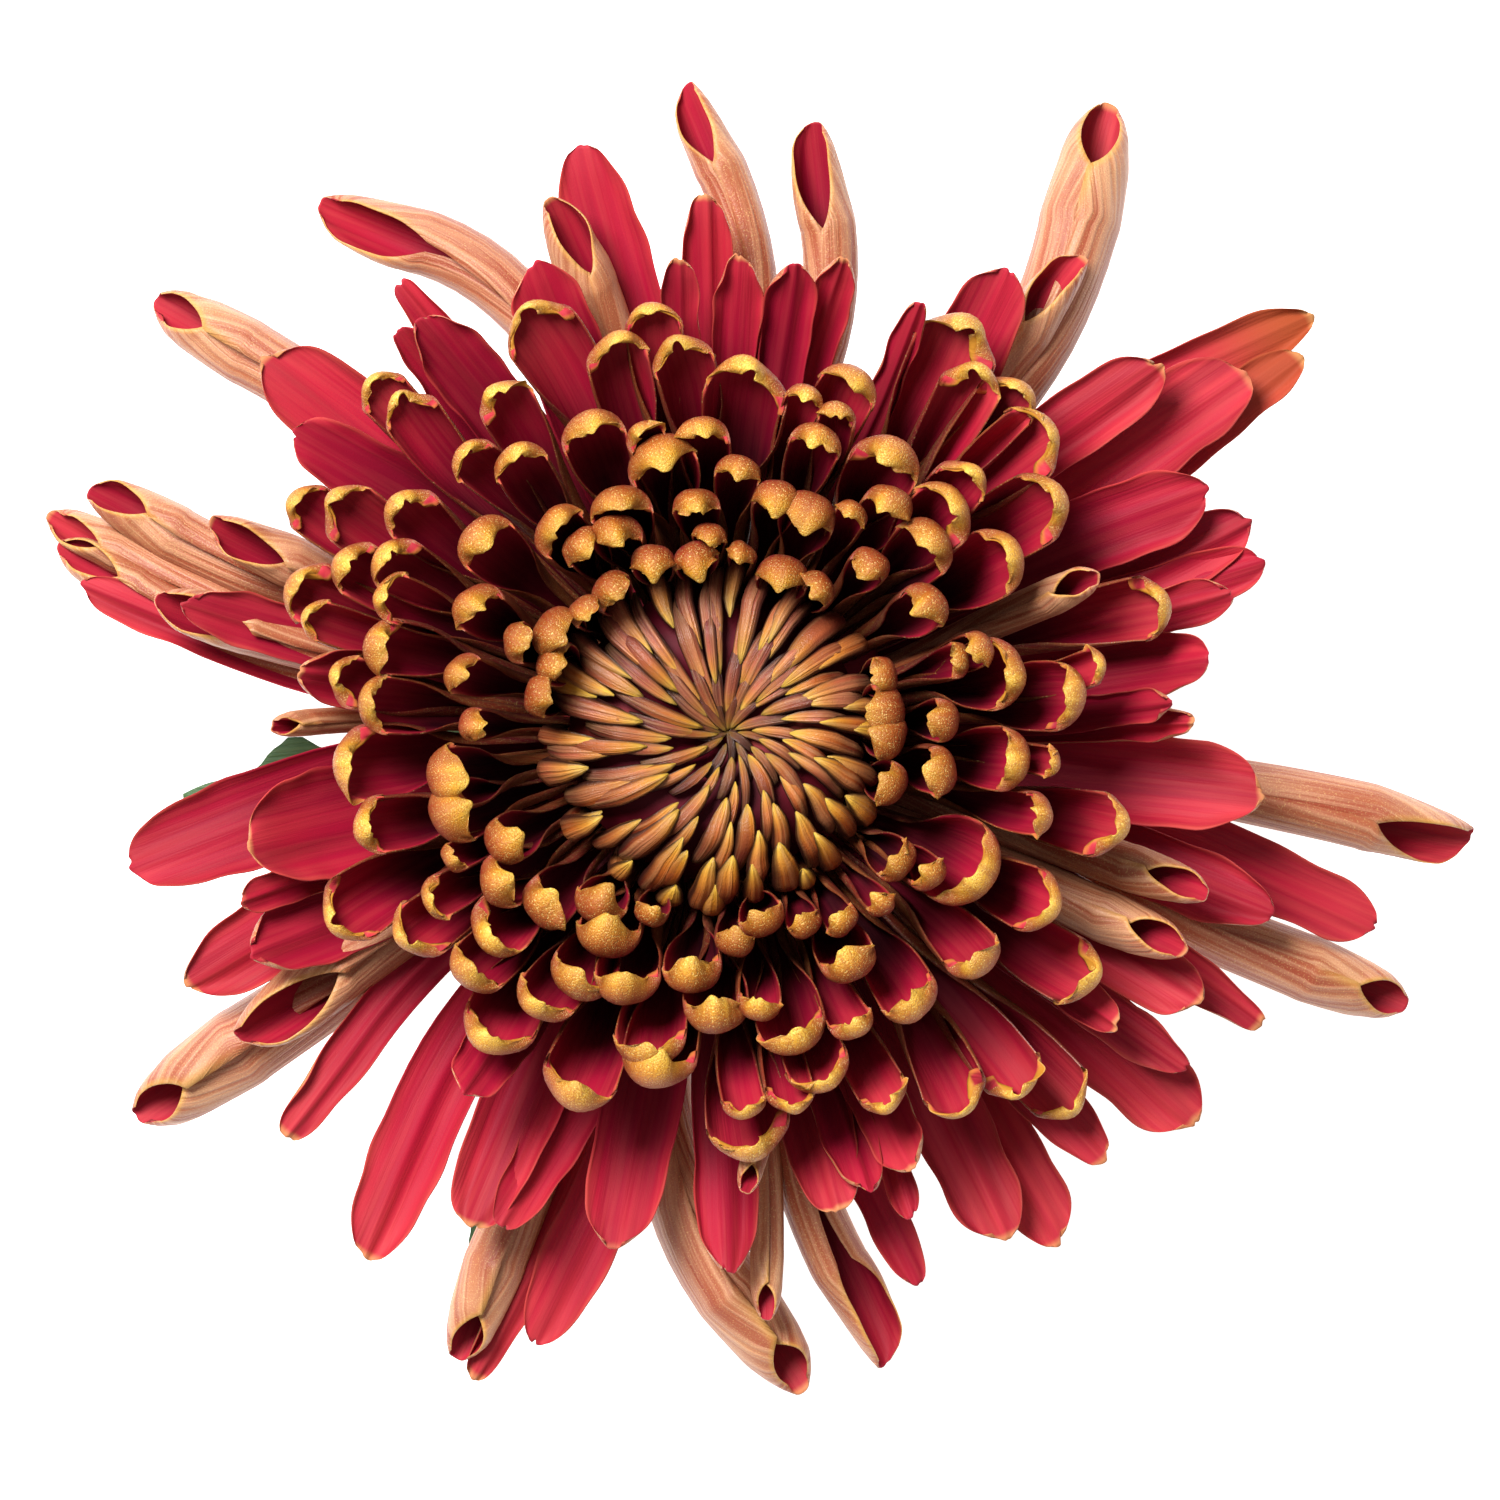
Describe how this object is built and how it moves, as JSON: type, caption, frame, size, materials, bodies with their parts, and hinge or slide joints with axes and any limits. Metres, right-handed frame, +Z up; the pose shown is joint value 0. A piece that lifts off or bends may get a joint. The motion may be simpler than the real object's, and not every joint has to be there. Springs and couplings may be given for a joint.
{
  "type": "spider chrysanthemum bloom",
  "caption": "Cut spider chrysanthemum bloom lying face up on a short stem and three leaves: hooked, open and quilled ray florets round a tight button",
  "frame": {"origin": "centre of the bounding box in plan, at the height of the surface the leaves lie on", "axes": "+Z up along the bloom's axis, face up; +X and +Y are right and up in the picture; X is the longest side"},
  "size_m": [0.1446, 0.1328, 0.0665],
  "materials": {
    "ray_petal": "soft satin petal, crimson inner face, bronze back",
    "button_petal": "soft satin petal, bronze with yellow-green tips",
    "bract": "matt green bracts",
    "stem": "matt ridged green stalk",
    "leaf_a": "matt leaf",
    "leaf_b": "matt leaf",
    "leaf_c": "matt leaf"
  },
  "bodies": {
    "root": {"ray_florets": "ray_petal", "centre_florets": "button_petal", "involucre": "bract", "stem": "stem", "leaf_1": "leaf_a", "leaf_2": "leaf_b", "leaf_3": "leaf_c"}
  },
  "joints": []
}
